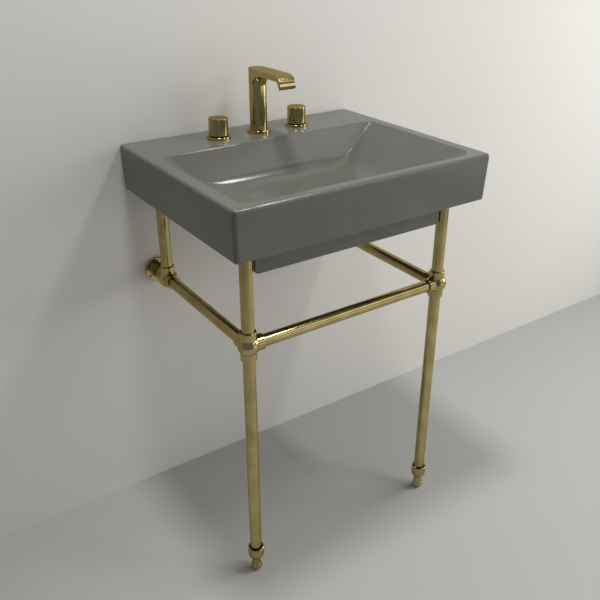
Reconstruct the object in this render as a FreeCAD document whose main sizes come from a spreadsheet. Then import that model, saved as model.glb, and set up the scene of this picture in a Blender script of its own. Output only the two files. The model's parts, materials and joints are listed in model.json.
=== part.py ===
import FreeCAD, Part
import Sketcher
import os

os.makedirs("parts", exist_ok=True)
doc = FreeCAD.newDocument("console_sink")
sheet = doc.addObject("Spreadsheet::Sheet", "sizes")
V = FreeCAD.Vector
NODES = []


class Size:
    """A number together with the sheet expression it comes from."""

    def __init__(self, value, text):
        self.value = value
        self.text = text

    def __add__(self, other):
        other = lift(other)
        return Size(self.value + other.value, "(%s + %s)" % (self.text, other.text))

    def __sub__(self, other):
        other = lift(other)
        return Size(self.value - other.value, "(%s - %s)" % (self.text, other.text))

    def __mul__(self, other):
        other = lift(other)
        return Size(self.value * other.value, "(%s * %s)" % (self.text, other.text))

    def __truediv__(self, other):
        other = lift(other)
        return Size(self.value / other.value, "(%s / %s)" % (self.text, other.text))

    def __neg__(self):
        return Size(-self.value, "(0 - %s)" % self.text)

    def __radd__(self, other):
        return lift(other) + self

    def __rsub__(self, other):
        return lift(other) - self

    def __rmul__(self, other):
        return lift(other) * self


def lift(item):
    if isinstance(item, Size):
        return item
    return Size(float(item), "(%.6g)" % item)


def size(alias, value):
    row = size.row
    size.row += 1
    sheet.set("A%d" % row, alias)
    sheet.set("B%d" % row, "%g" % value)
    sheet.setAlias("B%d" % row, alias)
    return Size(float(value), "sizes." + alias)


size.row = 1


# driving sizes, in millimetres

rim = size("rim_over_bolts", 60)
basin_w = size("basin_width", 603)
basin_d = size("basin_depth", 486)
apron_h = size("apron_height", 98.5)
draft = size("apron_draft", 3)
edge_r = size("edge_round", 6.4)
under_r = size("under_edge_round", 3)
keel_r = size("tub_side_round", 9)
side_rim = size("side_rim_width", 27.5)
deck_d = size("deck_depth", 132)
front_rim = size("front_rim_width", 21)
bowl_h = size("bowl_depth", 80)
wall_run = size("bowl_wall_run", 118)
back_run = size("bowl_back_run", 40)
front_run = size("bowl_front_run", 70)
floor_r = size("bowl_floor_round", 120)
crease_top_r = size("bowl_crease_round_top", 5)
crease_low_r = size("bowl_crease_round_floor", 64)
front_r = size("bowl_front_round", 50)
lip_r = size("bowl_lip_round", 5)
floor_t = size("bowl_floor_thickness", 14)
boss_t = size("drain_boss_thickness", 16)
tub_side = size("tub_side_inset", 72.5)
tub_inset = size("tub_front_inset", 58)
tub_h = size("tub_height", 156.6)
wall_t = size("ceramic_wall", 16)
deck_t = size("deck_thickness", 24)
cavity_side = size("cavity_side_inset", 96.5)
bolt_gap = size("wall_bolt_spacing", 280)
bolt_r = size("wall_bolt_hole_radius", 7)
tap_y = size("tap_line_from_wall", 70)
tap_gap = size("handle_spacing", 203.2)
tap_hole_r = size("tap_hole_radius", 17.5)
shank_r = size("spout_shank_radius", 15.9)
valve_r = size("valve_body_radius", 14.7)
stem_r = size("valve_stem_radius", 6)
feed_r = size("feed_tube_radius", 6)
screw_r = size("grub_screw_radius", 2)
ring_d = size("tap_ring_diameter", 52)
ring_h = size("tap_ring_height", 6)
knob_d = size("handle_diameter", 42)
knob_top = size("handle_top", 44.6)
knob_gap = size("handle_gap", 1.6)
spout_d = size("spout_diameter", 38.4)
spout_h = size("spout_height", 139.6)
arm_t = size("spout_arm_thickness", 12.2)
arm_reach = size("spout_arm_reach", 102)
cove_r = size("spout_cove_round", 24)
drain_r = size("drain_hole_radius", 23)
tail_r = size("tailpiece_radius", 15.875)
lift_h = size("stopper_lift", 9)
tube_d = size("leg_tube_diameter", 25.4)
tube_t = size("leg_tube_wall", 1.6)
leg_side = size("leg_side_inset", 56.5)
leg_front = size("leg_front_inset", 65)
rear_y = size("rear_upright_from_wall", 58.7)
joint_h = size("fitting_below_rim", 304)
floor_h = size("floor_below_rim", 897)
ball_r = size("fitting_ball_radius", 22)
collar_r = size("fitting_collar_radius", 16.5)
collar_l = size("fitting_collar_length", 31)
flange_d = size("wall_flange_diameter", 60)
flange_t = size("wall_flange_thickness", 5)
flange_pcd = size("wall_flange_hole_circle", 46)
flange_hole_r = size("wall_flange_hole_radius", 2.75)
pad_t = size("basin_pad_thickness", 4)
fit = size("socket_clearance", 0.05)
play = size("moving_clearance", 0.3)

doc.recompute()

tube_r = tube_d / 2
bore_in = tube_r - tube_t
socket = tube_r + 0.3
under = rim - apron_h
floor_z = rim - floor_h
joint_z = rim - joint_h
knob_r = knob_d / 2
ring_r = ring_d / 2
half_w = basin_w / 2
leg_x = half_w - leg_side
leg_y = basin_d - leg_front


# sketch and feature helpers

def bind(item, path, value):
    if "sizes." in value.text:
        item.setExpression(path, value.text)


def new_body(name, x=0, y=0, z=0):
    body = doc.addObject("PartDesign::Body", name)
    body.Label = name
    body.AllowCompound = True
    move(body, x, y, z)
    NODES.append(body)
    return body


def move(item, x, y, z, rotation=None):
    x, y, z = lift(x), lift(y), lift(z)
    turn = rotation or FreeCAD.Rotation()
    item.Placement = FreeCAD.Placement(V(x.value, y.value, z.value), turn)
    for axis, value in zip("xyz", (x, y, z)):
        bind(item, "Placement.Base." + axis, value)


def sketch_on(body, name, role, offset=0):
    sketch = body.newObject("Sketcher::SketchObject", name)
    plane = [f for f in body.Origin.OriginFeatures if f.Role == role][0]
    sketch.AttachmentSupport = [(plane, "")]
    sketch.MapMode = "FlatFace"
    offset = lift(offset)
    sketch.AttachmentOffset = FreeCAD.Placement(V(0, 0, offset.value), FreeCAD.Rotation())
    bind(sketch, "AttachmentOffset.Base.z", offset)
    return sketch


def rule(sketch, value, *parts):
    index = sketch.addConstraint(Sketcher.Constraint(*parts, value.value))
    bind(sketch, "Constraints[%d]" % index, value)


def outline(sketch, points):
    """Closed outline. A point is (x, y), or (x, y, cx, cy, turn) for an arc that ends there."""
    points = [tuple(lift(v) for v in p[:4]) + tuple(p[4:]) for p in points]
    ends = []
    for index, point in enumerate(points):
        start = points[index - 1]
        a = V(start[0].value, start[1].value, 0)
        b = V(point[0].value, point[1].value, 0)
        if len(point) == 2:
            geo = sketch.addGeometry(Part.LineSegment(a, b), False)
            ends.append((geo, 1, 2))
            continue
        centre = V(point[2].value, point[3].value, 0)
        first, last = (a, b) if point[4] > 0 else (b, a)
        circle = Part.Circle(centre, V(0, 0, 1), (a - centre).Length)
        arc = Part.ArcOfCircle(circle, circle.parameter(first), circle.parameter(last))
        geo = sketch.addGeometry(arc, False)
        ends.append((geo, 1, 2) if point[4] > 0 else (geo, 2, 1))
    for index, (geo, start, end) in enumerate(ends):
        after = ends[(index + 1) % len(ends)]
        sketch.addConstraint(Sketcher.Constraint("Coincident", geo, end, after[0], after[1]))
    for index, point in enumerate(points):
        geo, start, end = ends[index]
        rule(sketch, point[0], "DistanceX", geo, end)
        rule(sketch, point[1], "DistanceY", geo, end)
    for index, point in enumerate(points):
        if len(point) == 2:
            continue
        before = points[index - 1]
        wide = abs(point[0].value - before[0].value)
        tall = abs(point[1].value - before[1].value)
        kind, centre = ("DistanceX", point[2]) if tall >= wide else ("DistanceY", point[3])
        rule(sketch, centre, kind, ends[index][0], 3)


def rectangle(sketch, x0, x1, y0, y1):
    outline(sketch, [(x0, y0), (x1, y0), (x1, y1), (x0, y1)])


def round_rectangle(sketch, half, y0, y1, r_front, r_rear):
    """Plan outline from y0 (front) to y1 (rear), the same each side of the middle."""
    half, y0, y1, a, b = [lift(v) for v in (half, y0, y1, r_front, r_rear)]
    outline(sketch, [
        (half - a, y0),
        (half, y0 + a, half - a, y0 + a, 1),
        (half, y1 - b),
        (half - b, y1, half - b, y1 - b, 1),
        (-(half - b), y1),
        (-half, y1 - b, -(half - b), y1 - b, 1),
        (-half, y0 + a),
        (-(half - a), y0, -(half - a), y0 + a, 1),
    ])


def circle(sketch, x, y, radius):
    x, y, radius = lift(x), lift(y), lift(radius)
    geo = sketch.addGeometry(Part.Circle(V(x.value, y.value, 0), V(0, 0, 1), radius.value), False)
    rule(sketch, radius, "Radius", geo)
    rule(sketch, x, "DistanceX", geo, 3)
    rule(sketch, y, "DistanceY", geo, 3)


def feature(body, kind, name, sketch, length=None, reverse=False, middle=False):
    item = body.newObject("PartDesign::" + kind, name)
    item.Profile = sketch
    if length is not None:
        length = lift(length)
        item.Length = length.value
        bind(item, "Length", length)
    item.Reversed = reverse
    if middle:
        item.SideType = "Symmetric"
    sketch.Visibility = False
    return item


def turn(body, name, points, kind="Revolution", offset=0):
    """Profile of (radius, height) points turned about an upright axis, offset towards the front."""
    sketch = sketch_on(body, name + "_profile", "XZ_Plane", offset)
    outline(sketch, points)
    item = body.newObject("PartDesign::" + kind, name)
    item.Profile = sketch
    item.ReferenceAxis = (sketch, ["V_Axis"])
    item.Angle = 360
    sketch.Visibility = False
    return item


def turned(name, points, x=0, y=0, z=0):
    body = new_body(name, x, y, z)
    turn(body, name + "_turn", points)
    return body


def tube_points(inner, outer, low, high, soft=0.0):
    if not soft:
        return [(inner, low), (outer, low), (outer, high), (inner, high)]
    return [(inner, low), (outer - soft, low), (outer, low + soft), (outer, high - soft),
            (outer - soft, high), (inner, high)]


def round_edges(body, name, radius, test, kind="Fillet"):
    doc.recompute()
    base = body.Tip
    names = ["Edge%d" % (i + 1) for i, e in enumerate(base.Shape.Edges) if test(e)]
    item = body.newObject("PartDesign::" + kind, name)
    item.Base = (base, names)
    radius = lift(radius)
    prop = "Radius" if kind == "Fillet" else "Size"
    setattr(item, prop, radius.value)
    bind(item, prop, radius)
    return item


def near(a, b, slack=0.05):
    return abs(a - b) < slack


def at_height(edge, z):
    return near(edge.BoundBox.ZMin, z) and near(edge.BoundBox.ZMax, z)


def hexagon(sketch, flat):
    """Six sides, with the given size across flats."""
    flat = lift(flat)
    side = flat / 2
    tip = flat * 0.57735
    outline(sketch, [(tip, 0), (tip / 2, side), (-tip / 2, side), (-tip, 0), (-tip / 2, -side),
                     (tip / 2, -side)])


# basin: a drafted ceramic block with a deck, a sloping bowl and a tub below it

basin = new_body("basin")
top = sketch_on(basin, "basin_rim_plan", "XY_Plane", rim)
rectangle(top, -half_w, half_w, -basin_d, 6)
low = sketch_on(basin, "basin_under_plan", "XY_Plane", under)
rectangle(low, -(half_w - draft), half_w - draft, -(basin_d - draft), 6)
block = basin.newObject("PartDesign::AdditiveLoft", "basin_block")
block.Profile = top
block.Sections = [low]
block.Ruled = True
back = sketch_on(basin, "basin_back_plan", "XY_Plane", rim + 1)
rectangle(back, -(half_w + 1), half_w + 1, 0, 8)
feature(basin, "Pocket", "basin_back", back, apron_h + 2)


def corner_post(edge):
    box = edge.BoundBox
    return box.ZLength > 50 and box.YMax < -basin_d.value / 2


def rim_ring(edge):
    return at_height(edge, rim.value) and edge.BoundBox.YMin < -1


def under_ring(edge):
    return at_height(edge, under.value) and edge.BoundBox.YMin < -1


round_edges(basin, "basin_corners", edge_r + 1.6, corner_post)
round_edges(basin, "basin_rim_edges", edge_r, rim_ring)
round_edges(basin, "basin_under_edges", under_r, under_ring)

tub_half = half_w - tub_side
tub_front = -(basin_d - tub_inset)
tub_back = -(deck_d - wall_t)
tub_low = rim - tub_h
tub_plan = sketch_on(basin, "tub_plan", "XY_Plane", tub_low)
rectangle(tub_plan, -tub_half, tub_half, tub_front, tub_back)
feature(basin, "Pad", "tub_block", tub_plan, tub_h - apron_h + 4)


def tub_keel(edge):
    return at_height(edge, tub_low.value) and edge.BoundBox.YLength > 50


def tub_face(edge):
    box = edge.BoundBox
    return near(box.YMin, tub_front.value) and near(box.YMax, tub_front.value) and box.ZMin < under.value - 1


round_edges(basin, "tub_keel_edges", keel_r, tub_keel)
round_edges(basin, "tub_face_edges", under_r, tub_face)

bowl_half = half_w - side_rim
bowl_front = -(basin_d - front_rim)
bowl_floor = rim - bowl_h


def bowl_plan(name, z, half, front, rear, corner):
    """Plan of the bowl's outside at one height: round front corners and square rear ones."""
    half, front, rear, corner = lift(half), lift(front), lift(rear), lift(corner)
    sketch = sketch_on(basin, name, "XY_Plane", z)
    outline(sketch, [
        (half - corner, front),
        (half, front + corner, half - corner, front + corner, 1),
        (half, rear),
        (-half, rear),
        (-half, front + corner),
        (-(half - corner), front, -(half - corner), front + corner, 1),
    ])
    return sketch


tub_room = sketch_on(basin, "tub_room_plan", "XY_Plane", tub_low - 1)
round_rectangle(tub_room, tub_half - wall_t, tub_front + wall_t, tub_back - wall_t, 12, 8)
feature(basin, "Pocket", "tub_room", tub_room, tub_h - 29, True)

# outside of the bowl, one wall thickness away from its inside
shell_drop = wall_t * 1.4
shell_side = wall_t * 1.2
rise = wall_run / bowl_h
lean = back_run / bowl_h
front_rise = front_run / bowl_h
shell_low = bowl_floor - floor_t
shell_top = bowl_plan("shell_rim_plan", rim - shell_drop, bowl_half - rise * shell_drop + wall_t * 1.6,
                      bowl_front + front_rise * shell_drop - wall_t * 1.6,
                      -(deck_d - wall_t * 0.6), wall_t * 2)
shell_base = bowl_plan("shell_floor_plan", shell_low, bowl_half - rise * (bowl_h + floor_t) + wall_t * 1.8,
                       bowl_front + front_rise * (bowl_h + floor_t) - wall_t * 1.6,
                       -(deck_d + lean * (bowl_h + floor_t) - wall_t), wall_t * 4)
shell = basin.newObject("PartDesign::AdditiveLoft", "bowl_shell")
shell.Profile = shell_top
shell.Sections = [shell_base]
shell.Ruled = True

# inside of the bowl: a trough with sloping ends, made as a solid form and cut from the basin
form = doc.addObject("PartDesign::Body", "bowl_form")
over = 10
form_side = sketch_on(form, "bowl_side_profile", "XZ_Plane", deck_d - 20)
foot_half = bowl_half - wall_run
mouth_half = bowl_half + rise * over
outline(form_side, [(foot_half, bowl_floor), (mouth_half, rim + over), (-mouth_half, rim + over),
                    (-foot_half, bowl_floor)])
feature(form, "Pad", "bowl_trough", form_side, basin_d - front_rim - deck_d + 40)


def form_foot(edge):
    return at_height(edge, bowl_floor.value) and near(edge.BoundBox.XMin, edge.BoundBox.XMax)


round_edges(form, "bowl_floor_edges", floor_r, form_foot)
form_back = sketch_on(form, "bowl_back_profile", "YZ_Plane")
outline(form_back, [
    (-(deck_d - lean * (over + 1)), rim + over + 1), (-(deck_d - 25), rim + over + 1),
    (-(deck_d - 25), bowl_floor - 1), (-(deck_d + back_run + lean), bowl_floor - 1),
])
feature(form, "Pocket", "bowl_back", form_back, basin_w, False, True)
form_front = sketch_on(form, "bowl_front_profile", "YZ_Plane")
outline(form_front, [
    (bowl_front - front_rise * (over + 1), rim + over + 1), (bowl_front - 25, rim + over + 1),
    (bowl_front - 25, bowl_floor - 1), (bowl_front + front_run + front_rise, bowl_floor - 1),
])
feature(form, "Pocket", "bowl_front", form_front, basin_w, False, True)


def end_edge(edge, wall):
    """An edge of the form that lies in one of its sloping ends, below its open top."""
    if at_height(edge, rim.value + over):
        return False
    middle = edge.valueAt((edge.FirstParameter + edge.LastParameter) / 2)
    return all(near(p.y, wall(rim.value - p.z)) for p in [v.Point for v in edge.Vertexes] + [middle])


def back_wall(depth):
    return -deck_d.value - lean.value * depth


def front_wall(depth):
    return bowl_front.value + front_rise.value * depth


def crease_round(point):
    """Round of the back crease, small at the rim and wide at the floor."""
    share = (rim.value + over - point.z) / (bowl_h.value + over)
    return crease_top_r.value + (crease_low_r.value - crease_top_r.value) * share ** 2


doc.recompute()
crease = doc.addObject("Part::Fillet", "bowl_back_edges")
crease.Base = form
crease_rounds = []
for number, edge in enumerate(form.Shape.Edges, 1):
    if end_edge(edge, back_wall):
        left, right = sorted((vertex.Point for vertex in edge.Vertexes), key=lambda point: point.x)
        crease_rounds.append((number, crease_round(left), crease_round(right)))
crease.Edges = crease_rounds
core = doc.addObject("PartDesign::Body", "bowl_core")
core.BaseFeature = crease
round_edges(core, "bowl_front_edges", front_r, lambda edge: end_edge(edge, front_wall))
bowl = basin.newObject("PartDesign::Boolean", "bowl")
bowl.Type = "Cut"
bowl.setObjects([core])


def bowl_lip(edge):
    box = edge.BoundBox
    inside = box.XMax < bowl_half.value + 1 and box.YMin > bowl_front.value - 1
    return at_height(edge, rim.value) and inside and box.YMax < 1 - deck_d.value


round_edges(basin, "bowl_lip_edges", lip_r, bowl_lip)

floor_back = deck_d + back_run
floor_l = basin_d - front_rim - front_run - floor_back
drain_y = floor_back + floor_l * 0.6233
seat_z = bowl_floor - 2.5
recess_top = seat_z - boss_t
boss = sketch_on(basin, "drain_boss_plan", "XY_Plane", recess_top)
circle(boss, 0, -drain_y, drain_r + 22)
feature(basin, "Pad", "drain_boss", boss, shell_low - recess_top + 1)
drain_cut = [
    (0, bowl_floor + 1), (drain_r + 10.5, bowl_floor + 1), (drain_r + 10.5, seat_z), (drain_r, seat_z),
    (drain_r, recess_top - 5), (0, recess_top - 5),
]
turn(basin, "drain_seat", drain_cut, "Groove", drain_y)

cavity_half = half_w - cavity_side
cavity = sketch_on(basin, "deck_cavity_plan", "XY_Plane", tub_low - 1)
round_rectangle(cavity, cavity_half, tub_back, -(wall_t + 2), 6, 12)
feature(basin, "Pocket", "deck_cavity", cavity, tub_h - deck_t + 1, True)

tap_holes = sketch_on(basin, "tap_hole_plan", "XY_Plane", rim + 1)
for place in (-tap_gap / 2, lift(0), tap_gap / 2):
    circle(tap_holes, place, -tap_y, tap_hole_r)
feature(basin, "Pocket", "tap_holes", tap_holes, deck_t + 4)

bolt_holes = sketch_on(basin, "wall_bolt_plan", "XZ_Plane", -1)
for side in (-1, 1):
    circle(bolt_holes, side * bolt_gap / 2, 0, bolt_r)
feature(basin, "Pocket", "wall_bolt_holes", bolt_holes, wall_t + 6, True)


# drain: flanged body clamped through the bowl floor, lifting stopper and tailpiece

drain_at = (0, -drain_y, 0)
gasket_t = 1.2
body_r = drain_r - 1
body_low = seat_z - 64
tail_low = seat_z - 104
waist_z = seat_z - 54

turned("drain_gasket_upper", tube_points(body_r + 0.4, drain_r + 8, seat_z, seat_z + gasket_t), *drain_at)

flange_z = seat_z + gasket_t
thread_r = tail_r - 0.5
drain_body = turned("drain_body", [
    (thread_r + fit, body_low), (body_r, body_low), (body_r, flange_z), (drain_r + 9, flange_z),
    (drain_r + 9, flange_z + 1.2), (drain_r + 7.5, flange_z + 2.6), (drain_r - 0.8, flange_z + 2.6),
    (body_r - 3.5, flange_z - 2), (body_r - 3.5, waist_z), (thread_r + fit, waist_z),
], *drain_at)
hub_top = seat_z - 30
spider = sketch_on(drain_body, "drain_spider_plan", "XY_Plane", hub_top - 12)
arm_half = 1.6
reach = body_r - 2
outline(spider, [
    (arm_half, reach), (-arm_half, reach), (-arm_half, arm_half), (-reach, arm_half),
    (-reach, -arm_half), (-arm_half, -arm_half), (-arm_half, -reach), (arm_half, -reach),
    (arm_half, -arm_half), (reach, -arm_half), (reach, arm_half), (arm_half, arm_half),
])
feature(drain_body, "Pad", "drain_spider", spider, 12)
hub = sketch_on(drain_body, "drain_hub_plan", "XY_Plane", hub_top - 14)
circle(hub, 0, 0, 7.5)
feature(drain_body, "Pad", "drain_hub", hub, 14)
hub_bore = sketch_on(drain_body, "drain_hub_bore_plan", "XY_Plane", hub_top + 1)
circle(hub_bore, 0, 0, 4 + play)
feature(drain_body, "Pocket", "drain_hub_bore", hub_bore, 16)

cap_z = flange_z + 2.6
plug_r = body_r - 7
turned("stopper_seal", tube_points(plug_r + 0.2, plug_r + 3, cap_z - 2.4, cap_z - 0.2), *drain_at)
turned("drain_stopper", [
    (0, hub_top - 30), (4, hub_top - 30), (4, hub_top + 1), (6, hub_top + 1), (6, cap_z - 2.6),
    (plug_r, cap_z - 2.6), (plug_r, cap_z + fit), (drain_r + 2, cap_z + fit), (drain_r + 2.4, cap_z + 0.8),
    (drain_r + 1.2, cap_z + 2.2), (0, cap_z + 3.8),
], *drain_at)

clamp_z = recess_top
turned("drain_gasket_lower", tube_points(body_r + 0.2, drain_r + 11, clamp_z - 4, clamp_z, 1), *drain_at)
drain_nut = new_body("drain_nut", *drain_at)
nut_plan = sketch_on(drain_nut, "drain_nut_plan", "XY_Plane", clamp_z - 14)
hexagon(nut_plan, 2 * drain_r + 12)
circle(nut_plan, 0, 0, body_r + fit)
feature(drain_nut, "Pad", "drain_nut_pad", nut_plan, 10)

tail_in = tail_r - 1.6
turned("drain_tailpiece", [
    (tail_in, tail_low), (tail_r - 0.4, tail_low), (tail_r, tail_low + 0.4), (tail_r, body_low - 0.3),
    (thread_r, body_low - 0.3), (thread_r, waist_z - 1), (tail_in, waist_z - 1),
], *drain_at)


# spout: ring, column, flat arm with a bent tip, outlet insert, shank, washer and nut

spout_r = spout_d / 2
deck_low = rim - deck_t
clamp_r = tap_hole_r + 6.5
ring_top = rim + ring_h
tee_z = rim - 66


def ring_points(inner):
    return [(inner, rim), (ring_r - 0.4, rim), (ring_r, rim + 0.4), (ring_r, ring_top - 1.4),
            (ring_r - 1.4, ring_top, ring_r - 1.4, ring_top - 1.4, 1), (inner, ring_top)]


def clamp_pair(name, x, bore):
    """Washer and hexagon nut that pull a fitting down from below the deck."""
    turned(name + "_washer", tube_points(bore + 0.3, clamp_r, deck_low - 3, deck_low), x, -tap_y, 0)
    nut = new_body(name + "_nut", x, -tap_y, 0)
    plan = sketch_on(nut, name + "_nut_plan", "XY_Plane", deck_low - 12)
    hexagon(plan, 40)
    circle(plan, 0, 0, bore + fit)
    feature(nut, "Pad", name + "_nut_pad", plan, 9)


turned("spout_ring", ring_points(shank_r + 0.3), 0, -tap_y, 0)

spout = new_body("spout_body", 0, -tap_y, 0)
arm_low = rim + spout_h - arm_t
arm_top = rim + spout_h
column = sketch_on(spout, "spout_column_plan", "XY_Plane", ring_top)
circle(column, 0, 0, spout_r)
feature(spout, "Pad", "spout_column", column, arm_low - ring_top)
arm = sketch_on(spout, "spout_arm_plan", "XY_Plane", arm_low)
outline(arm, [(spout_r, -arm_reach), (spout_r, 0), (-spout_r, 0, 0, 0, 1), (-spout_r, -arm_reach)])
feature(spout, "Pad", "spout_arm", arm, arm_t)
tip = sketch_on(spout, "spout_tip_profile", "YZ_Plane")
end = -arm_reach
outline(tip, [
    (end, arm_low), (end, arm_top), (end - 12.5, arm_top - 5), (end - 16.6, arm_top - 9.6),
    (end - 21.2, arm_top - 25, end - 44.1, arm_top - 9.8, -1), (end - 15.3, arm_low - 15.8),
    (end - 8.3, arm_low - 3.12), (end - 3, arm_low, end - 3, arm_low - 6, -1),
])
feature(spout, "Pad", "spout_tip", tip, spout_d, False, True)

# cove under the arm, where the round column runs out into it
cove = sketch_on(spout, "spout_cove_profile", "YZ_Plane")
outline(cove, [
    (-(spout_r - 3), arm_low + 1), (-(spout_r - 3), arm_low - cove_r), (-spout_r, arm_low - cove_r),
    (-(spout_r + cove_r), arm_low, -(spout_r + cove_r), arm_low - cove_r, 1),
    (-(spout_r + cove_r), arm_low + 1),
])
cove_turn = feature(spout, "Revolution", "spout_cove", cove)
cove_turn.ReferenceAxis = (cove, ["V_Axis"])
cove_turn.Midplane = True
cove_turn.Angle = 160
flank_out = spout_r + cove_r + 2
for name, inner, outer in (("left", -spout_r, -flank_out), ("right", spout_r, flank_out)):
    flank = sketch_on(spout, "spout_flank_plan_" + name, "XY_Plane", arm_low + 2)
    rectangle(flank, inner, outer, -flank_out, -0.5)
    feature(spout, "Pocket", "spout_flank_" + name, flank, cove_r + 4)


def spout_rim(edge):
    box = edge.BoundBox
    side = near(abs(box.XMin), spout_r.value) and near(box.XMin, box.XMax)
    facet = side and near(box.ZMax, arm_top.value) and box.YMax < end.value + 1
    nose = side and box.YMin < end.value - 16
    top_edge = at_height(edge, arm_top.value) and box.YMax > end.value + 1
    return top_edge or facet or nose


round_edges(spout, "spout_edges", 0.8, spout_rim)
shank_bore = sketch_on(spout, "spout_bore_plan", "XY_Plane", ring_top)
circle(shank_bore, 0, 0, shank_r + fit)
feature(spout, "Pocket", "spout_bore", shank_bore, 20.2, True)

# direction of flow at the tip and the direction across the arm's thickness
flow_y = -0.4834
flow_z = -0.8754
mouth_y = end - 18.25
mouth_z = arm_low - 14.3
slot_half = 1.7


def slot_point(along, across):
    return mouth_y + along * flow_y - across * flow_z, mouth_z + along * flow_z + across * flow_y


slot = sketch_on(spout, "spout_slot_profile", "YZ_Plane")
outline(slot, [slot_point(4, -slot_half), slot_point(4, slot_half), slot_point(-9, slot_half),
               slot_point(-9, -slot_half)])
feature(spout, "Pocket", "spout_slot", slot, 31.4, False, True)

insert = new_body("spout_outlet")
insert_plan = sketch_on(insert, "outlet_plan", "XY_Plane")
rectangle(insert_plan, -15.6, 15.6, -(slot_half - 0.1), slot_half - 0.1)
for index in range(10):
    circle(insert_plan, -12.6 + 2.8 * index, 0, 0.9)
feature(insert, "Pad", "outlet_pad", insert_plan, 6)
tilt = FreeCAD.Rotation(V(1, 0, 0), -28.907)
move(insert, 0, mouth_y - tap_y - 0.8 * flow_y, mouth_z - 0.8 * flow_z, tilt)

turned("spout_shank", tube_points(6, shank_r, tee_z + 9, ring_top + 20), 0, -tap_y, 0)
clamp_pair("spout", 0, shank_r)

tee_r = shank_r + 4.1
tee = turned("spout_tee", [
    (0, tee_z - 11), (tee_r - 1, tee_z - 11), (tee_r, tee_z - 10), (tee_r, tee_z + 20),
    (shank_r + fit, tee_z + 20), (shank_r + fit, tee_z + 8.6), (0, tee_z + 8.6),
], 0, -tap_y, 0)
for side in (-1, 1):
    word = "left" if side < 0 else "right"
    plan = sketch_on(tee, "tee_socket_" + word, "YZ_Plane", side * (tee_r + 1))
    circle(plan, 0, tee_z, feed_r + fit)
    feature(tee, "Pocket", plan.Name + "_bore", plan, 10, side < 0)


# hot and cold sides: valve body, stem, ring, washer, nut, knob, set screw and feed tube

knob_low = ring_top + knob_gap
knob_high = rim + knob_top
stem_top = knob_high - 10
screw_z = knob_low + 12


def grub(name, length):
    """Headless screw with a hexagon socket in its outer end, along its own Z axis."""
    shank = doc.addObject("Part::Cylinder", name + "_rod")
    shank.Radius = screw_r.value - 0.05
    bind(shank, "Radius", screw_r - 0.05)
    shank.Height = length
    key = doc.addObject("Part::Prism", name + "_key")
    key.Polygon = 6
    key.Circumradius = 1.1
    key.Height = 3
    key.Placement.Base = V(0, 0, length - 1.8)
    item = doc.addObject("Part::Cut", name)
    item.Base = shank
    item.Tool = key
    return item


for side, name in ((-1, "hot"), (1, "cold")):
    x = side * tap_gap / 2
    valve = turned(name + "_valve_body", [
        (0, rim - 106), (7, rim - 106), (10.3, rim - 105), (10.3, rim - 82), (valve_r, rim - 80),
        (valve_r, rim + 4), (stem_r + play, rim + 4), (stem_r + play, rim - 30), (0, rim - 30),
    ], x, -tap_y, 0)
    boss = sketch_on(valve, name + "_boss_plan", "YZ_Plane")
    circle(boss, 0, tee_z, 9)
    feature(valve, "Pad", name + "_boss", boss, 24, side > 0)
    mouth = sketch_on(valve, name + "_boss_bore_plan", "YZ_Plane", -side * 25)
    circle(mouth, 0, tee_z, feed_r + fit)
    feature(valve, "Pocket", name + "_boss_bore", mouth, 11, side > 0)
    inlet = sketch_on(valve, name + "_inlet_plan", "XY_Plane", rim - 107)
    circle(inlet, 0, 0, 6)
    feature(valve, "Pocket", name + "_inlet", inlet, 24, True)

    turned(name + "_ring", ring_points(valve_r + 0.3), x, -tap_y, 0)
    clamp_pair(name, x, valve_r)
    turned(name + "_stem", [
        (0, rim - 29.5), (stem_r, rim - 29.5), (stem_r, stem_top - 1), (stem_r - 1, stem_top),
        (0, stem_top),
    ], x, -tap_y, 0)

    handle = turned(name + "_handle", [
        (stem_r + fit, knob_low), (knob_r - 0.6, knob_low), (knob_r, knob_low + 0.6),
        (knob_r, knob_high - 1.6), (knob_r - 1.6, knob_high, knob_r - 1.6, knob_high - 1.6, 1),
        (0, knob_high), (0, stem_top + 0.3), (stem_r + fit, stem_top + 0.3),
    ], x, -tap_y, 0)
    hole = sketch_on(handle, name + "_screw_plan", "XZ_Plane", -knob_r - 1)
    circle(hole, 0, screw_z, screw_r)
    feature(handle, "Pocket", name + "_screw_hole", hole, knob_r - stem_r + 3, True)
    screw = grub(name + "_set_screw", 8)
    screw.Label = name + "_set_screw"
    move(screw, x, -tap_y + stem_r + 0.05, screw_z, FreeCAD.Rotation(V(1, 0, 0), -90))
    NODES.append(screw)

    run = tap_gap / 2 - 14.2 - (tee_r - 8.8)
    tube = turned(name + "_feed_tube", tube_points(feed_r - 1, feed_r, 0, run))
    move(tube, x - side * 14.2, -tap_y, tee_z, FreeCAD.Rotation(V(0, 1, 0), -90 * side))


# stand: ball fittings, tubes, wall flanges, levelling feet

socket_r = tube_r + fit
screw_at = 23
SCREWS = []


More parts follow.
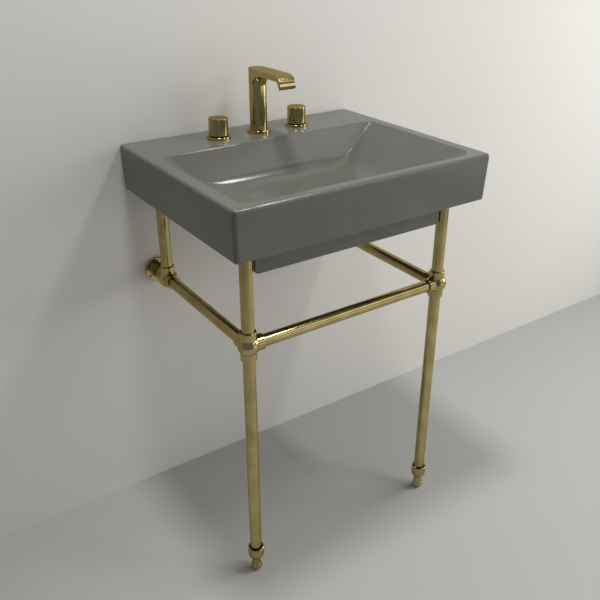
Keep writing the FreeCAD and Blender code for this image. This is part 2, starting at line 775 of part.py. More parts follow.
def fitting(name, x, y, arms):
    """Ball with socket collars. An arm is (axis, sign, screw axis, screw sign)."""
    body = new_body(name, x, y, joint_z)
    turn(body, name + "_ball", [(0, -ball_r), (0, ball_r, 0, 0, 1)])
    planes = {"x": "YZ_Plane", "y": "XZ_Plane", "z": "XY_Plane"}
    flips = {"x": 1, "y": -1, "z": 1}
    for axis, sign, screw_axis, screw_sign in arms:
        tag = "%s_%s%s" % (name, axis, "p" if sign > 0 else "n")
        way = sign * flips[axis]
        plan = sketch_on(body, tag + "_plan", planes[axis])
        circle(plan, 0, 0, collar_r)
        feature(body, "Pad", tag, plan, collar_l, way < 0)

    def collar_end(edge):
        if edge.Degenerated or not hasattr(edge.Curve, "Radius"):
            return False
        at_end = near(edge.CenterOfMass.Length, collar_l.value, 0.5)
        return at_end and near(edge.Curve.Radius, collar_r.value, 0.01)

    round_edges(body, name + "_collar_edges", 1.2, collar_end)
    for axis, sign, screw_axis, screw_sign in arms:
        tag = "%s_%s%s" % (name, axis, "p" if sign > 0 else "n")
        way = sign * flips[axis]
        plan = sketch_on(body, tag + "_bore_plan", planes[axis], way * (collar_l + 1))
        circle(plan, 0, 0, socket_r)
        feature(body, "Pocket", tag + "_bore", plan, collar_l + 1 - socket, way < 0)
    for axis, sign, screw_axis, screw_sign in arms:
        tag = "%s_%s%s" % (name, axis, "p" if sign > 0 else "n")
        plan_flip = flips[screw_axis] * screw_sign
        plan = sketch_on(body, tag + "_screw_plan", planes[screw_axis], plan_flip * (collar_r + 1))
        spot = {"x": 0, "y": 0, "z": 0}
        spot[axis] = sign * screw_at
        across = {"x": ("y", "z"), "y": ("x", "z"), "z": ("x", "y")}[screw_axis]
        circle(plan, spot[across[0]], spot[across[1]], screw_r)
        feature(body, "Pocket", tag + "_screw_hole", plan, collar_r - tube_r + 2, plan_flip < 0)
        SCREWS.append((x, y, spot, screw_axis, screw_sign))
    return body


def upright(name, x, y, low, high):
    turned(name, tube_points(bore_in, tube_r, low, high), x, y, 0)


def rail(name, x, y, length, axis):
    tube = turned(name, tube_points(bore_in, tube_r, 0, length))
    turn_to = {"x": FreeCAD.Rotation(V(0, 1, 0), 90), "y": FreeCAD.Rotation(V(1, 0, 0), -90)}
    move(tube, x, y, joint_z, turn_to[axis])


pad_low = under - pad_t
foot_rim = floor_z + 68.5
tube_low = foot_rim + 4
stud_r = 5
for side, name in ((-1, "left"), (1, "right")):
    x = side * leg_x
    fitting(name + "_front_fitting", x, -leg_y, [
        ("z", 1, "y", 1), ("z", -1, "y", 1), ("x", -side, "z", -1), ("y", 1, "z", -1)])
    fitting(name + "_rear_fitting", x, -rear_y, [("z", 1, "y", 1), ("y", -1, "z", -1), ("y", 1, "z", -1)])
    upright(name + "_front_upright", x, -leg_y, joint_z + socket + 0.3, pad_low)
    upright(name + "_rear_upright", x, -rear_y, joint_z + socket + 0.3, pad_low)
    upright(name + "_leg", x, -leg_y, tube_low, joint_z - socket - 0.3)
    rail(name + "_side_rail", x, -(leg_y - socket - 0.3), leg_y - rear_y - 2 * (socket + 0.3), "y")
    rail(name + "_wall_nipple", x, -(rear_y - socket - 0.3), rear_y - socket - 0.3 - 3, "y")

    flange = turned(name + "_wall_flange", [
        (0, 0), (flange_d / 2, 0), (flange_d / 2, flange_t - 1), (flange_d / 2 - 1, flange_t),
        (tube_r + 5.7, flange_t), (tube_r + 4.9, flange_t + 1), (tube_r + 4.9, 19), (tube_r + 3.9, 20),
        (socket_r, 20), (socket_r, 2.7), (0, 2.7),
    ])
    holes = sketch_on(flange, name + "_flange_hole_plan", "XY_Plane", flange_t + 1)
    for cosine, sine in ((0, 1), (-0.866025, -0.5), (0.866025, -0.5)):
        circle(holes, flange_pcd / 2 * cosine, flange_pcd / 2 * sine, flange_hole_r)
    feature(flange, "Pocket", name + "_flange_holes", holes, flange_t + 3)
    move(flange, x, 0, joint_z, FreeCAD.Rotation(V(1, 0, 0), 90))

    turned(name + "_leg_insert", tube_points(stud_r + play, bore_in - fit, tube_low, tube_low + 20),
           x, -leg_y, 0)
    cup_r = tube_r + 5.1
    turned(name + "_foot", [
        (0, floor_z), (4, floor_z), (10, floor_z + 18.71, 0, floor_z + 11.6, 1), (9.3, floor_z + 28),
        (9.3, floor_z + 34), (cup_r, floor_z + 49, -6.87, floor_z + 53.07, 1), (cup_r, foot_rim - 1),
        (cup_r - 1, foot_rim), (cup_r - 2.4, foot_rim), (cup_r - 2.4, floor_z + 51),
        (cup_r - 4.8, floor_z + 48.6), (stud_r + fit, floor_z + 48.6), (stud_r + fit, floor_z + 34.5),
        (0, floor_z + 34.5),
    ], x, -leg_y, 0)
    turned(name + "_foot_stud", [
        (0, floor_z + 34.8), (stud_r, floor_z + 34.8), (stud_r, floor_z + 107), (stud_r - 1, floor_z + 108),
        (0, floor_z + 108),
    ], x, -leg_y, 0)

rail("front_rail", -(leg_x - socket - 0.3), -leg_y, 2 * (leg_x - socket - 0.3), "x")

pads = new_body("basin_pads")
heads = sketch_on(pads, "pad_head_plan", "XY_Plane", pad_low)
spigots = sketch_on(pads, "pad_spigot_plan", "XY_Plane", pad_low)
for x in (-leg_x, leg_x):
    for y in (-leg_y, -rear_y):
        circle(heads, x, y, tube_r - 0.2)
        circle(spigots, x, y, bore_in - 0.3)
feature(pads, "Pad", "pad_heads", heads, pad_t)
feature(pads, "Pad", "pad_spigots", spigots, 12, True)

turns = {
    ("y", 1): FreeCAD.Rotation(V(1, 0, 0), -90),
    ("z", -1): FreeCAD.Rotation(V(1, 0, 0), 180),
}
screws = []
for index, (x, y, spot, axis, sign) in enumerate(SCREWS):
    screw = grub("fitting_screw_%d" % (index + 1), 3.5)
    out = {"x": 0, "y": 0, "z": 0}
    out[axis] = sign
    start = tube_r + 0.05
    move(screw, x + spot["x"] + out["x"] * start, y + spot["y"] + out["y"] * start,
         joint_z + spot["z"] + out["z"] * start, turns[(axis, sign)])
    screws.append(screw)
group = doc.addObject("Part::Compound", "fitting_screws")
group.Label = "fitting_screws"
group.Links = screws
NODES.append(group)


# check every piece and write it out

doc.recompute()
bad = []
for item in doc.Objects:
    if "Invalid" in item.State or "Error" in item.State:
        bad.append(item.Name)
for node in NODES:
    if node.Shape.isNull() or not node.Shape.isValid() or not node.Shape.Solids:
        bad.append(node.Label)
if bad:
    raise RuntimeError("not built: " + ", ".join(bad))
for node in NODES:
    node.Shape.exportStep("parts/%s.step" % node.Label)
print("nodes", len(NODES))
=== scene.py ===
# %% [markdown]
# # A console sink: ceramic basin, brass stand and tap set
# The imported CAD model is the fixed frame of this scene. It brings every solid of the sink in
# metres, at its true place: +Z is up, -Y is the front and +Y points into the wall. The shapes
# come from there, so this lesson is mostly about finishes, light and the fine details that a CAD
# solid leaves out, such as screw threads. The box around the CAD model is kept, because the
# dressed sink has to stay inside it.

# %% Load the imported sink
import json
import math

import bmesh
import bpy
from mathutils import Matrix, Vector


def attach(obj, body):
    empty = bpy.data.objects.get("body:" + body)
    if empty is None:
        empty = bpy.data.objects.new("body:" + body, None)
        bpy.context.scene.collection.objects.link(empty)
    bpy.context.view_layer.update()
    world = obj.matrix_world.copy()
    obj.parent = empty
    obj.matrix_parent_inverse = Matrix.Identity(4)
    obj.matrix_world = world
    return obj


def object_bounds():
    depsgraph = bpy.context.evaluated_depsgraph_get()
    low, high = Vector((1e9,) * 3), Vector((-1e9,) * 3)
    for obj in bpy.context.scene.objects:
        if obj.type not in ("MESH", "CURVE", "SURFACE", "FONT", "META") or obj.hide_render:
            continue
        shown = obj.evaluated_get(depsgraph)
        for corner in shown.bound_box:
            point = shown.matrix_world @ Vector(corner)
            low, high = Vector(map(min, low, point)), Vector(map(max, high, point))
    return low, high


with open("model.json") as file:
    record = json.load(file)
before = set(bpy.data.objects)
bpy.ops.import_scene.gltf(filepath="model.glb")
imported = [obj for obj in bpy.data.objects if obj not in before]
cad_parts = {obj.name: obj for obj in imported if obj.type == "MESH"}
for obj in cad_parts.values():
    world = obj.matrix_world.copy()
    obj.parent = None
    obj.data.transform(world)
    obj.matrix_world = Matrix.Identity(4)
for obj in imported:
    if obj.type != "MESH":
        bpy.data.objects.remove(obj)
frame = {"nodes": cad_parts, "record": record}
cad_low, cad_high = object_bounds()
scene = bpy.context.scene
scene.view_settings.view_transform = "Standard"
print("CAD nodes", len(frame["nodes"]), "box", [round(v, 4) for v in cad_high - cad_low])

# %% [markdown]
# ## Camera
# The photograph was taken from the left of the basin, a little above the taps. Its place,
# direction and focal length were found from the edges of the basin and the stand. A camera could
# also be aimed at a point, but two plain angles are easier to read and to correct. A camera in
# Blender looks along its own -Z axis, so it is first tipped up from straight down, then turned
# about the upright axis.

# %% Set the camera
CAMERA_PLACE = (-0.83592, -1.47155, 0.47640)
CAMERA_TURN_DEG = 34.07
CAMERA_DIP_DEG = 27.38
LENS_MM = 43.65
SENSOR_MM = 36.0


def add_camera():
    """The camera of the photograph, made the scene's own."""
    data = bpy.data.cameras.new("photo_camera")
    data.lens = LENS_MM
    data.sensor_width = SENSOR_MM
    data.dof.use_dof = False
    camera = bpy.data.objects.new("photo_camera", data)
    camera.location = CAMERA_PLACE
    camera.rotation_euler = (math.radians(90 - CAMERA_DIP_DEG), 0, math.radians(-CAMERA_TURN_DEG))
    scene.collection.objects.link(camera)
    scene.camera = camera
    return camera


camera = add_camera()
print("camera", camera.location[:], "lens", camera.data.lens)

# %% [markdown]
# ## Helpers for materials
# Every finish below is a small web of nodes around one Principled shader. Writing such a web out
# node by node gets long, so two short helpers start it: one adds a node and sets its plain
# values, the other makes a material and its Object coordinates. A pattern that reads Object
# coordinates stays fixed to the piece, at its real scale.

# %% Node helpers
def add_node(tree, kind, **values):
    """A new node. Each value goes to the input of that name, or else to the node's own setting."""
    node = tree.nodes.new(kind)
    for name, value in values.items():
        if name in node.inputs:
            node.inputs[name].default_value = value
        else:
            setattr(node, name, value)
    return node


def new_finish(name):
    """A new material, its nodes, its Principled shader and the Object coordinates to read."""
    material = bpy.data.materials.new(name)
    material.use_nodes = True
    tree = material.node_tree
    shader = tree.nodes["Principled BSDF"]
    place = add_node(tree, "ShaderNodeTexCoord")
    return material, tree, shader, place.outputs["Object"]


print("node helpers ready")

# %% [markdown]
# ## Helpers for patterns
# A pattern is a number between 0 and 1 at every point of a piece. Four helpers make use of it:
# stretch pulls a noise out into lines, between gives it the range that a gloss needs,
# blend_colours runs from one colour to another, and raise_bumps tilts the light on the surface
# without moving any vertex. They are kept apart, so that each finish can be read as a short list
# of what it does.

# %% Pattern helpers
def stretch(tree, place, scale):
    """Object coordinates squeezed or stretched, so that a noise turns into lines."""
    mapping = add_node(tree, "ShaderNodeMapping", Scale=scale)
    tree.links.new(place, mapping.inputs["Vector"])
    return mapping.outputs["Vector"]


def between(tree, factor, low, high, span=(0, 1)):
    """A number that runs from low to high as the factor runs over its span."""
    limits = {"From Min": span[0], "From Max": span[1], "To Min": low, "To Max": high}
    change = add_node(tree, "ShaderNodeMapRange", **limits)
    tree.links.new(factor, change.inputs["Value"])
    return change.outputs["Result"]


def blend_colours(tree, factor, low, high):
    """A colour that runs from low to high as the factor runs from 0 to 1."""
    mix = add_node(tree, "ShaderNodeMix", data_type="RGBA")
    first, second = [socket for socket in mix.inputs if socket.type == "RGBA"]
    first.default_value = (*low, 1)
    second.default_value = (*high, 1)
    tree.links.new(factor, mix.inputs["Factor"])
    return next(socket for socket in mix.outputs if socket.type == "RGBA")


def raise_bumps(tree, shader, height, strength, distance):
    """Small bumps in the shading, as high as the distance (in metres) times the strength."""
    bump = add_node(tree, "ShaderNodeBump", Strength=strength, Distance=distance)
    tree.links.new(height, bump.inputs["Height"])
    tree.links.new(bump.outputs["Normal"], shader.inputs["Normal"])


print("pattern helpers ready")

# %% [markdown]
# ## Helpers for shared effects
# An effect that several finishes share is best kept as a node group: it is built once, and every
# material that places it shows it at its own size. The groups here take coordinates and put out
# plain numbers, so that each material stays in charge of its colours and its shader. Blender's
# noise keeps close to one half, so its middle is spread over the whole range from 0 to 1.

# %% Group helpers
NOISE_MIDDLE = (0.3, 0.7)


def start_group(name, numbers_in, numbers_out):
    """A node group that reads coordinates, with its input and output nodes."""
    group = bpy.data.node_groups.new(name, "ShaderNodeTree")
    sockets = [("Vector", "INPUT", "NodeSocketVector")]
    sockets += [(title, "INPUT", "NodeSocketFloat") for title in numbers_in]
    sockets += [(title, "OUTPUT", "NodeSocketFloat") for title in numbers_out]
    for title, way, kind in sockets:
        group.interface.new_socket(name=title, in_out=way, socket_type=kind)
    return group, group.nodes.new("NodeGroupInput"), group.nodes.new("NodeGroupOutput")


def add_noise(group, entry, leave, output, **values):
    """A noise from the group's coordinates to one of its outputs, with its contrast raised."""
    noise = add_node(group, "ShaderNodeTexNoise", **values)
    group.links.new(entry.outputs["Vector"], noise.inputs["Vector"])
    spread = between(group, noise.outputs["Fac"], 0, 1, NOISE_MIDDLE)
    group.links.new(spread, leave.inputs[output])
    return noise


def place_effect(tree, effect, vector, **scales):
    """One of the shared effects, placed in a material. Gives its outputs by name."""
    node = add_node(tree, "ShaderNodeGroup", node_tree=effect, **scales)
    tree.links.new(vector, node.inputs["Vector"])
    return node.outputs


print("group helpers ready")

# %% [markdown]
# ## Shared effect: cloudiness
# No real surface is the same all over. Glaze runs thicker and thinner, brass is handled and
# wiped, rubber is dusty. Each could have a noise of its own, but all of that is one effect at
# different sizes, so it is one node group: a broad cloud for colour, and a fine grain for gloss
# and for the smallest bumps. Each material places the group and gives it its own sizes.

# %% Build the cloudiness group
CLOUD_DETAILS = {"Cloud": 3, "Grain": 2}


def build_cloudiness():
    """The group with a broad cloud and a fine grain, each with a scale of its own."""
    scales = [title + " Scale" for title in CLOUD_DETAILS]
    group, entry, leave = start_group("cloudiness", scales, CLOUD_DETAILS)
    for title, detail in CLOUD_DETAILS.items():
        noise = add_noise(group, entry, leave, title, Detail=detail)
        group.links.new(entry.outputs[title + " Scale"], noise.inputs["Scale"])
    return group


cloudiness = build_cloudiness()
print("group", cloudiness.name, [item.name for item in cloudiness.interface.items_tree])

# %% [markdown]
# ## Shared effect: fine lines of polishing
# Tube is polished along its length and a turned knob is polished round and round. Both leave very
# fine lines. Lines could be drawn with a wave texture, but those come out too even. A noise that
# is stretched about a hundred times in one direction looks right, so the group takes coordinates
# that are already stretched. It puts out the lines themselves and a softer band that changes the
# gloss.

# %% Build the polishing lines group
LINE_NOISES = {"Line": {"Scale": 1.0, "Detail": 4}, "Band": {"Scale": 0.12, "Detail": 2}}


def build_polish_lines():
    """The group with fine lines and soft bands, at scales that are fixed."""
    group, entry, leave = start_group("polish_lines", (), LINE_NOISES)
    for title, values in LINE_NOISES.items():
        add_noise(group, entry, leave, title, **values)
    return group


polish_lines = build_polish_lines()
print("group", polish_lines.name, [item.name for item in polish_lines.interface.items_tree])

# %% [markdown]
# ## Glaze
# The basin is slip-cast ceramic under a grey glaze that is smooth enough to mirror a lamp as a
# soft-edged streak. Its colour drifts slightly where the glaze is thicker, and its surface has
# the very shallow waviness of a fired glaze. A clear coat over a rough body could give this too,
# but one Principled shader with a low roughness is enough. The clouds move the colour, the grain
# moves the gloss, and a second set of clouds raises the waviness by a few thousandths of a
# millimetre.

# %% Make the glaze
GLAZE_DARK = (0.165, 0.163, 0.140)
GLAZE_LIGHT = (0.190, 0.188, 0.163)
GLAZE_ROUGHNESS = (0.12, 0.16)
GLAZE_DRIFT = {"Cloud Scale": 9, "Grain Scale": 260}
GLAZE_WAVES = {"Cloud Scale": 34}
GLAZE_BUMP = {"strength": 0.012, "distance": 0.0005}


def make_glaze():
    """The grey glaze of the basin."""
    material, tree, shader, place = new_finish("grey_glaze")
    drift = place_effect(tree, cloudiness, place, **GLAZE_DRIFT)
    colour = blend_colours(tree, drift["Cloud"], GLAZE_DARK, GLAZE_LIGHT)
    tree.links.new(colour, shader.inputs["Base Color"])
    tree.links.new(between(tree, drift["Grain"], *GLAZE_ROUGHNESS), shader.inputs["Roughness"])
    waves = place_effect(tree, cloudiness, place, **GLAZE_WAVES)
    raise_bumps(tree, shader, waves["Cloud"], **GLAZE_BUMP)
    return material


glaze = make_glaze()
print("finish", glaze.name)

# %% [markdown]
# ## A maker of metals
# Metal has no colour of its own besides what it reflects, so its base colour is the tint of its
# reflections. Handling leaves broad, soft clouds of darker metal, and polishing leaves lines.
# Each metal could be a web of its own, but they differ only in colours, gloss and the direction
# of the lines, so one maker builds them all. Its roughness adds up the bands of polishing and the
# clouds.

# %% Define the metal maker
METAL_CLOUDS = {"Cloud Scale": 26}
METAL_BUMP = {"strength": 0.02, "distance": 0.0001}
BAND_SHARE = 0.6
CLOUD_SHARE = 0.4


def make_metal(name, dark, light, line_scale, roughness):
    """A metal between two tints and two roughnesses, with lines stretched by the line scale."""
    material, tree, shader, place = new_finish(name)
    shader.inputs["Metallic"].default_value = 1.0
    cloud = place_effect(tree, cloudiness, place, **METAL_CLOUDS)["Cloud"]
    lines = place_effect(tree, polish_lines, stretch(tree, place, line_scale))
    tree.links.new(blend_colours(tree, cloud, dark, light), shader.inputs["Base Color"])
    wear = add_node(tree, "ShaderNodeMath", operation="MULTIPLY_ADD")
    tree.links.new(lines["Band"], wear.inputs[0])
    wear.inputs[1].default_value = BAND_SHARE
    tree.links.new(between(tree, cloud, 0, CLOUD_SHARE), wear.inputs[2])
    gloss = between(tree, wear.outputs["Value"], *roughness)
    tree.links.new(gloss, shader.inputs["Roughness"])
    raise_bumps(tree, shader, lines["Line"], **METAL_BUMP)
    return material


print("metal maker ready")

# %% [markdown]
# ## Brass
# The stand and the taps are polished brass that has gone a little olive. The lines of polishing
# run along a tube and round a turned piece, and a tube can stand, lie sideways or lie towards the
# wall. One material could turn its lines by the piece it is on, but five materials with fixed
# directions are plainer. Brass reflects paler at a grazing angle, and Specular Tint is where the
# Principled shader takes that edge colour of a metal.

# %% Make the brass finishes
BRASS_DARK = (0.41, 0.336, 0.140)
BRASS_LIGHT = (0.55, 0.464, 0.217)
BRASS_GRAZING = (0.90, 0.74, 0.42, 1)
BRASS_ROUGHNESS = (0.07, 0.17)
ALONG, ACROSS = 14, 1300
LINE_SCALES = {
    "brass_tube_upright": (ACROSS, ACROSS, ALONG),
    "brass_tube_to_wall": (ACROSS, ALONG, ACROSS),
    "brass_tube_sideways": (ALONG, ACROSS, ACROSS),
    "brass_turned_upright": (ALONG, ALONG, ACROSS),
    "brass_turned_to_wall": (ALONG, ACROSS, ALONG),
}


def make_brass(name):
    """Polished brass with its lines in the direction that its name says."""
    material = make_metal(name, BRASS_DARK, BRASS_LIGHT, LINE_SCALES[name], BRASS_ROUGHNESS)
    shader = material.node_tree.nodes["Principled BSDF"]
    shader.inputs["Specular Tint"].default_value = BRASS_GRAZING
    return material


brass = {name: make_brass(name) for name in LINE_SCALES}
print("finishes", sorted(brass))

# %% [markdown]
# ## Machined brass and steel
# The shanks, nuts and tails under the deck are turned brass that was never polished: duller,
# redder, with plain tool lines round each piece. The washers and grub screws are bright steel.
# They could share the polished brass, but from below the difference is plain to see, and the
# maker of metals gives both with a rougher gloss.

# %% Make the hidden metals
MACHINED_DARK = (0.46, 0.36, 0.19)
MACHINED_LIGHT = (0.56, 0.46, 0.25)
MACHINED_ROUGHNESS = (0.26, 0.40)
STEEL_DARK = (0.46, 0.46, 0.455)
STEEL_LIGHT = (0.58, 0.58, 0.57)
STEEL_ROUGHNESS = (0.22, 0.36)
TURNED = LINE_SCALES["brass_turned_upright"]

machined_brass = make_metal(
    "machined_brass", MACHINED_DARK, MACHINED_LIGHT, TURNED, MACHINED_ROUGHNESS)
steel = make_metal("plain_steel", STEEL_DARK, STEEL_LIGHT, TURNED, STEEL_ROUGHNESS)
print("finishes", machined_brass.name, steel.name)

# %% [markdown]
# ## Rubber and dark plastic
# The seals and pads are black rubber with a dusty bloom, and the outlet of the spout is a matt
# moulded insert. Both are nearly black and rough. A flat black would do from afar, but the fine
# grain in gloss and bumps gives the faint texture that moulded parts have.

# %% Make the dark finishes
DARK_TEXTURE = {"Cloud Scale": 60, "Grain Scale": 1600}
DARK_BUMP_DISTANCE = 0.0002
RUBBER_DARK = (0.022, 0.022, 0.021)
RUBBER_LIGHT = (0.040, 0.039, 0.037)
RUBBER_ROUGHNESS = (0.68, 0.88)
RUBBER_BUMP = 0.35
PLASTIC_DARK = (0.040, 0.040, 0.040)
PLASTIC_LIGHT = (0.062, 0.062, 0.060)
PLASTIC_ROUGHNESS = (0.40, 0.55)
PLASTIC_BUMP = 0.15


def make_dark(name, dark, light, roughness, bump):
    """A dark moulded finish between two shades and two roughnesses."""
    material, tree, shader, place = new_finish(name)
    texture = place_effect(tree, cloudiness, place, **DARK_TEXTURE)
    colour = blend_colours(tree, texture["Cloud"], dark, light)
    tree.links.new(colour, shader.inputs["Base Color"])
    tree.links.new(between(tree, texture["Grain"], *roughness), shader.inputs["Roughness"])
    raise_bumps(tree, shader, texture["Grain"], bump, DARK_BUMP_DISTANCE)
    return material


rubber = make_dark("black_rubber", RUBBER_DARK, RUBBER_LIGHT, RUBBER_ROUGHNESS, RUBBER_BUMP)
plastic = make_dark("dark_plastic", PLASTIC_DARK, PLASTIC_LIGHT, PLASTIC_ROUGHNESS, PLASTIC_BUMP)
print("finishes", rubber.name, plastic.name)

# %% [markdown]
# ## Dress the CAD nodes
# Each solid of the frame keeps its shape and gets its finish. The finishes could be listed for
# every node, but the record already names a material slot for each. Polished brass needs one
# choice more, the direction of its lines, which follows from how that piece is made, drawn tube
# or turned on a lathe, and is told from the end of its name.

# %% Put a finish on every node
PLAIN_SLOTS = {
    "glazed_ceramic": glaze,
    "raw_brass": machined_brass,
    "steel": steel,
    "black_rubber": rubber,
    "dark_plastic": plastic,
}
TURNED_PIECES = ("handle", "ring", "foot", "fitting", "drain_body", "drain_stopper")
LINE_DIRECTIONS = (
    ("front_rail", "brass_tube_sideways"),
    ("side_rail", "brass_tube_to_wall"),
    (("wall_flange", "wall_nipple"), "brass_turned_to_wall"),
    (TURNED_PIECES, "brass_turned_upright"),
)


def brass_for(node):
    """The brass whose lines run the way in which this piece was polished."""
    for endings, finish in LINE_DIRECTIONS:
        if node.endswith(endings):
            return brass[finish]
    return brass["brass_tube_upright"]


slot_of = {item["node"]: item["material_slot"] for item in frame["record"]["subparts"]}
for name, piece in frame["nodes"].items():
    finish = PLAIN_SLOTS.get(slot_of[name]) or brass_for(name)
    piece.data.materials.clear()
    piece.data.materials.append(finish)
print("dressed", len(slot_of), "nodes")

# %% [markdown]
# ## A winder of screw threads
# A thread is one ridge that climbs as it goes round. It could be a stack of separate rings, but
# those would show at the ends, where a real thread runs out. So a small four-sided profile is
# spun about the axis of the shank while it rises by one pitch per turn. The foot of the ridge
# sits a little inside the shank, so that no gap shows.

# %% Define the thread winder
TURN_STEPS = 32
RIDGE_HIGH = 0.00045
RIDGE_FOOT = 0.00010
# Each corner of the ridge: how far outside the shank, and how far up as a share of the pitch
RIDGE_PROFILE = ((-RIDGE_FOOT, 0.05), (RIDGE_HIGH, 0.36), (RIDGE_HIGH, 0.52), (-RIDGE_FOOT, 0.83))


def wind_thread(name, axis_place, radius, low, high, pitch):
    """A thread on a shank of this radius, between two heights, as a piece of the sink."""
    x, y = axis_place
    shape = bmesh.new()
    corners = [
        shape.verts.new((x + (radius + out), y, low + share * pitch))
        for out, share in RIDGE_PROFILE]
    sides = [shape.edges.new((corners[i], corners[i - 1])) for i in range(len(corners))]
    steps = round(((high - low) / pitch - 1) * TURN_STEPS)
    bmesh.ops.spin(
        shape, geom=corners + sides, cent=(x, y, 0), axis=(0, 0, 1),
        dvec=(0, 0, pitch / TURN_STEPS), angle=steps * math.tau / TURN_STEPS, steps=steps)
    bmesh.ops.holes_fill(shape, edges=shape.edges[:], sides=len(corners))
    bmesh.ops.recalc_face_normals(shape, faces=shape.faces[:])
    mesh = bpy.data.meshes.new(name)
    shape.to_mesh(mesh)
    shape.free()
    piece = bpy.data.objects.new(name, mesh)
    scene.collection.objects.link(piece)
    mesh.materials.append(machined_brass)
    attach(piece, "stand_and_basin")
    return piece


print("thread winder ready,", TURN_STEPS, "steps per turn")

# %% [markdown]
# ## Screw threads
# The spout shank, the valve bodies, the tap tails and the drain body are threaded where their
# nuts run. The CAD solids are plain there, because a thread is too fine for a casting drawing. A
# bump could draw the ridges, but their outline shows from below, so they are wound as real
# ridges.

# %% Wind the threads
TAP_LINE = -0.070
TAP_HALF_GAP = 0.1016
DRAIN_LINE = -0.311

threads = [
    wind_thread("spout_shank_thread", (0, TAP_LINE),
                radius=0.0159, low=0.0140, high=0.0240, pitch=0.0018),
    wind_thread("drain_body_thread", (0, DRAIN_LINE),
                radius=0.0220, low=-0.0855, high=-0.0530, pitch=0.0021),
]
for side, x in (("hot", -TAP_HALF_GAP), ("cold", TAP_HALF_GAP)):
    threads += [
        wind_thread(side + "_valve_thread", (x, TAP_LINE),
                    radius=0.0147, low=0.0050, high=0.0240, pitch=0.0015),
        wind_thread(side + "_tail_thread", (x, TAP_LINE),
                    radius=0.0103, low=-0.0440, high=-0.0230, pitch=0.0018),
    ]
print("threads", [(piece.name, len(piece.data.polygons)) for piece in threads])

# %% [markdown]
# ## Finishes of the stage
# The sink stands on a plain pale floor and hangs on a plain pale wall, which are the stage and
# not part of the object. Seen from behind, a solid wall would hide the sink and keep the light
# from its back. The wall could be left out of those views, but the same scene has to serve for
# all of them, so the wall shows its front only, to the camera in full and to reflections in part,
# and every other ray goes through. In part, because a whole pale wall in every reflection makes
# the brass too light.

# %% Make the stage finishes
FLOOR_COLOUR = (0.60, 0.595, 0.562)
WALL_COLOUR = (0.87, 0.855, 0.80)
WALL_IN_MIRRORS = 0.65
STAGE_CLOUDS = {"Cloud Scale": 1.5}
STAGE_DRIFT = 0.015
STAGE_ROUGHNESS = 0.85


def show_front_only(tree, shader):
    """Lets all rays through, apart from the camera's and a part of the glossy ones, in front."""
    ray = add_node(tree, "ShaderNodeLightPath")
    side = add_node(tree, "ShaderNodeNewGeometry")
    mirrored = add_node(tree, "ShaderNodeMath", operation="MULTIPLY")
    mirrored.inputs[1].default_value = WALL_IN_MIRRORS
    seen = add_node(tree, "ShaderNodeMath", operation="MAXIMUM")
    front = add_node(tree, "ShaderNodeMath", operation="SUBTRACT", use_clamp=True)
    clear = add_node(tree, "ShaderNodeBsdfTransparent")
    choose = add_node(tree, "ShaderNodeMixShader")
    for source, target in (
            (ray.outputs["Is Camera Ray"], seen.inputs[0]),
            (ray.outputs["Is Glossy Ray"], mirrored.inputs[0]),
            (mirrored.outputs["Value"], seen.inputs[1]),
            (seen.outputs["Value"], front.inputs[0]),
            (side.outputs["Backfacing"], front.inputs[1]),
            (front.outputs["Value"], choose.inputs["Fac"]),
            (clear.outputs["BSDF"], choose.inputs[1]),
            (shader.outputs["BSDF"], choose.inputs[2]),
            (choose.outputs["Shader"], tree.nodes["Material Output"].inputs["Surface"])):
        tree.links.new(source, target)


def make_stage_finish(name, colour, one_sided):
    """A matt finish whose colour drifts a little up and down."""
    material, tree, shader, place = new_finish(name)
    cloud = place_effect(tree, cloudiness, place, **STAGE_CLOUDS)["Cloud"]
    darker = [(1 - STAGE_DRIFT) * c for c in colour]
    lighter = [(1 + STAGE_DRIFT) * c for c in colour]
    tree.links.new(blend_colours(tree, cloud, darker, lighter), shader.inputs["Base Color"])
    shader.inputs["Roughness"].default_value = STAGE_ROUGHNESS
    if one_sided:
        show_front_only(tree, shader)
    return material


pale_floor = make_stage_finish("pale_floor", FLOOR_COLOUR, one_sided=False)
pale_wall = make_stage_finish("pale_wall", WALL_COLOUR, one_sided=True)
print("stage finishes", pale_floor.name, pale_wall.name)

# %% [markdown]
# ## Floor and wall
# Both are single planes. A grid of one face is made, turned and moved by operators, so that the
# object itself stays at the origin, unturned. The floor lies at the lowest point of the feet. The
# wall stands a few millimetres behind the back of the basin, because two faces in one plane would
# show through each other.

# %% Set the stage
STAGE_SIZE = 6.0
WALL_BEHIND = 0.003


def add_plane(name, turn, place, finish):
    """A square of the stage, turned about X by this many degrees."""
    shape = bmesh.new()
    bmesh.ops.create_grid(shape, x_segments=1, y_segments=1, size=STAGE_SIZE / 2)
    tilt = Matrix.Rotation(math.radians(turn), 3, "X")
    bmesh.ops.rotate(shape, verts=shape.verts, cent=(0, 0, 0), matrix=tilt)
    bmesh.ops.translate(shape, verts=shape.verts, vec=place)
    mesh = bpy.data.meshes.new(name)
    shape.to_mesh(mesh)
    shape.free()
    mesh.materials.append(finish)
    piece = bpy.data.objects.new(name, mesh)
    scene.collection.objects.link(piece)
    return piece


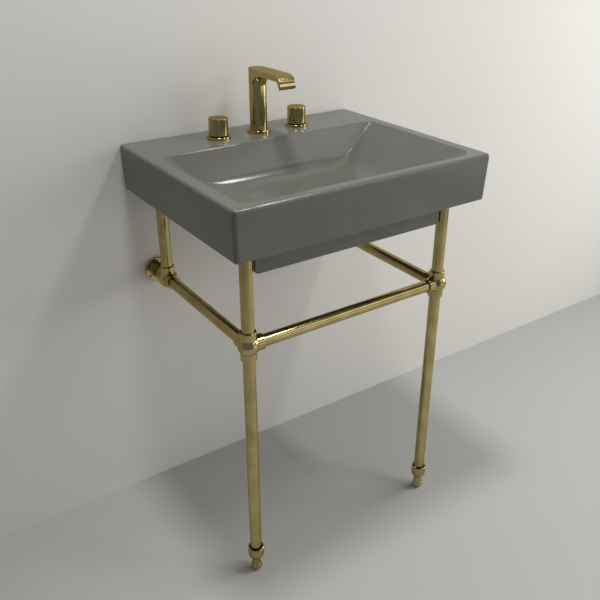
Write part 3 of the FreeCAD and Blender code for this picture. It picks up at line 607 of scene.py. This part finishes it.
floor_z = cad_low.z
floor = add_plane("floor", 0, (0, 0, floor_z), pale_floor)
wall = add_plane("wall", 90, (0, WALL_BEHIND, floor_z + STAGE_SIZE / 2), pale_wall)
print(floor.name, "at", round(floor_z, 4), wall.name, "faces", wall.data.polygons[0].normal[:])

# %% [markdown]
# ## Light
# Five soft lamps stand round the sink. The key lamp hangs in front at the right, and the bowl
# mirrors it as its two streaks. The fill lamp hangs overhead and lights the deck and the rim. The
# side lamp, low at the right, lights the wall and the right edges of the brass. The front lamp
# shows in the face of the spout, and the low lamp lifts the apron and the front rail. One big
# lamp could light all this, but then the streaks would spread over the whole bowl. The world is
# an even grey that keeps the shadows open. All are set to a plain level, at which the glaze
# renders about as its colour is written.

# %% Add the lamps and the world
WORLD_GREY = 0.16
LAMPS = {
    "key_lamp": {
        "place": (1.0, -1.24, 2.1), "aim": (0.0, -1.24, 0.0), "size": (0.84, 0.26), "watts": 15},
    "fill_lamp": {
        "place": (-0.25, -0.45, 2.1), "aim": (0.0, -0.35, 0.0), "size": (0.3, 0.3), "watts": 23},
    "side_lamp": {
        "place": (2.1, -0.95, 0.40), "aim": (0.0, -0.95, 0.1), "size": (1.0, 1.5), "watts": 19},
    "front_lamp": {
        "place": (1.5, -2.4, 1.1), "aim": (0.0, -0.3, 0.1), "size": (1.4, 0.9), "watts": 4.5},
    "low_lamp": {
        "place": (1.5, -2.4, -0.35), "aim": (0.0, -0.45, -0.2), "size": (2.0, 0.9), "watts": 4},
}


def add_lamp(name, place, aim, size, watts):
    """A rectangular lamp that faces the point it is aimed at."""
    data = bpy.data.lights.new(name, "AREA")
    data.shape = "RECTANGLE"
    data.size, data.size_y = size
    data.energy = watts
    lamp = bpy.data.objects.new(name, data)
    lamp.location = place
    lamp.rotation_euler = (Vector(aim) - Vector(place)).to_track_quat("-Z", "Y").to_euler()
    scene.collection.objects.link(lamp)
    return lamp


lamps = [add_lamp(name, **values) for name, values in LAMPS.items()]
world = bpy.data.worlds.new("even_grey")
world.use_nodes = True
background = world.node_tree.nodes["Background"]
background.inputs["Color"].default_value = (WORLD_GREY, WORLD_GREY, WORLD_GREY, 1)
scene.world = world
print("lamps", [(lamp.name, lamp.data.energy) for lamp in lamps])
